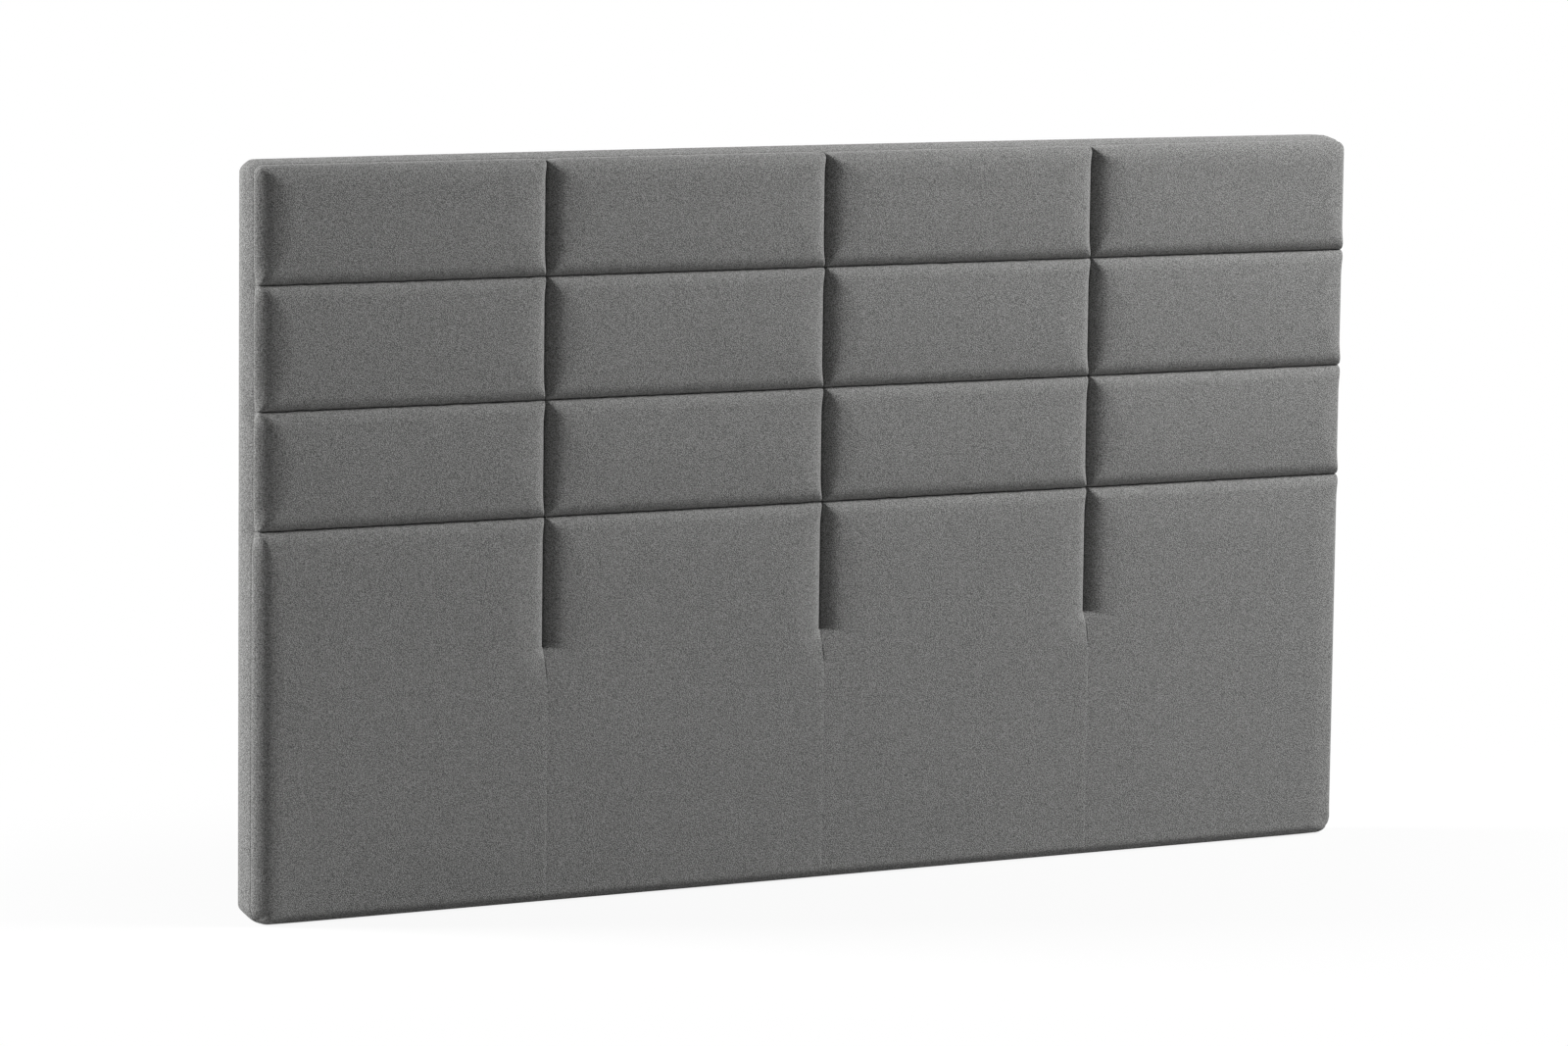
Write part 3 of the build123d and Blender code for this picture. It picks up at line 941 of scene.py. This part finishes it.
def seen_directly(tree):
    """1 for the rays of the camera and of mirror-like or clear surfaces, 0 for the light's own."""
    rays = tree.nodes.new("ShaderNodeLightPath")
    seen = Field(tree, rays.outputs["Is Camera Ray"])
    for name in ("Is Glossy Ray", "Is Transmission Ray"):
        seen = seen.math("MAXIMUM", seen, Field(tree, rays.outputs[name]))
    return seen


def stage_floor():
    """A large plane that is seen as white, with a faint shadow close to the object.

    The white takes over by a smooth step of the distance from the middle of the floor, and the
    floor reflects little light up at the object."""
    side = 40.0
    corners = [(-side, -side, 0.0), (side, -side, 0.0), (side, side, 0.0), (-side, side, 0.0)]
    mesh = bpy.data.meshes.new("floor")
    mesh.from_pydata(corners, [], [(0, 1, 2, 3)])
    material, shader, place = new_finish("pale_floor")
    tree = material.node_tree
    seen = seen_directly(tree)
    seen.coloured((0.32, 0.32, 0.32), (0.7, 0.7, 0.7)).feeds(shader, "Base Color")
    shader.inputs["Roughness"].default_value = 0.9
    away = place.stretched((0.75, 1.0, 1.0))
    distance = away.node("ShaderNodeVectorMath", {"operation": "LENGTH"}, {0: away}, output=1)
    reach = {0: distance, 1: 0.5, 2: 1.6, 3: 0.88, 4: 1.0}
    white = distance.node("ShaderNodeMapRange", {"interpolation_type": "SMOOTHSTEP"}, reach)
    glow = place.node("ShaderNodeEmission", {}, {"Color": (1, 1, 1, 1), "Strength": 1.0})
    body = Field(tree, shader.outputs[0])
    mixed = body.node("ShaderNodeMixShader", {}, {0: seen * white, 1: body, 2: glow})
    tree.links.new(mixed.socket, tree.nodes["Material Output"].inputs["Surface"])
    mesh.materials.append(material)
    floor = bpy.data.objects.new("floor", mesh)
    bpy.context.collection.objects.link(floor)


def white_surroundings(strength):
    """Even light from all round, seen by the camera as plain white."""
    world = bpy.data.worlds.new("surroundings")
    bpy.context.scene.world = world
    world.use_nodes = True
    tree = world.node_tree
    tree.nodes["Background"].inputs["Color"].default_value = (1, 1, 1, 1)
    tree.nodes["Background"].inputs["Strength"].default_value = strength
    light = Field(tree, tree.nodes["Background"].outputs[0])
    white = light.node("ShaderNodeBackground", {}, {"Color": (1, 1, 1, 1), "Strength": 1.0})
    mixed = light.node("ShaderNodeMixShader", {}, {0: seen_directly(tree), 1: light, 2: white})
    tree.links.new(mixed.socket, tree.nodes["World Output"].inputs["Surface"])


def softbox(name, direction, distance, size, power):
    """A square lamp at a distance from the middle of the object, turned to it."""
    lamp = bpy.data.lights.new(name, "AREA")
    lamp.size = size
    lamp.energy = power
    box = bpy.data.objects.new(name, lamp)
    bpy.context.collection.objects.link(box)
    away = Vector(direction).normalized()
    box.location = Vector((0.0, 0.0, full_height / 2.0)) + away * distance
    box.rotation_euler = away.to_track_quat("Z", "Y").to_euler()


def photo_camera():
    """The camera fitted to the photograph: place, heading, tilt and roll, with a long lens."""
    heading, tilt, roll = 0.51473, 0.12258, 0.01243
    eye = (-4.5069, -7.8749, 1.6339)
    ahead = np.array([
        math.sin(heading) * math.cos(tilt),
        math.cos(heading) * math.cos(tilt),
        -math.sin(tilt),
    ])
    level = np.array([math.cos(heading), -math.sin(heading), 0.0])
    upright = np.cross(level, ahead)
    side = level * math.cos(roll) + upright * math.sin(roll)
    over = upright * math.cos(roll) - level * math.sin(roll)
    lens = bpy.data.cameras.new("photo_camera")
    lens.lens = 145.16
    lens.sensor_width = 36.0
    camera = bpy.data.objects.new("photo_camera", lens)
    bpy.context.collection.objects.link(camera)
    turned = np.eye(4)
    turned[:3, :3] = np.stack([side, over, -ahead], axis=-1)
    turned[:3, 3] = eye
    camera.matrix_world = turned.T.tolist()
    bpy.context.scene.camera = camera


stage_floor()
white_surroundings(0.06)
softbox("key", (0.69, -0.40, 0.60), 5.6, 1.8, 405.0)
softbox("rim", (-0.77, 0.42, 0.38), 7.0, 2.0, 760.0)
photo_camera()
bpy.context.scene.view_settings.view_transform = "Standard"
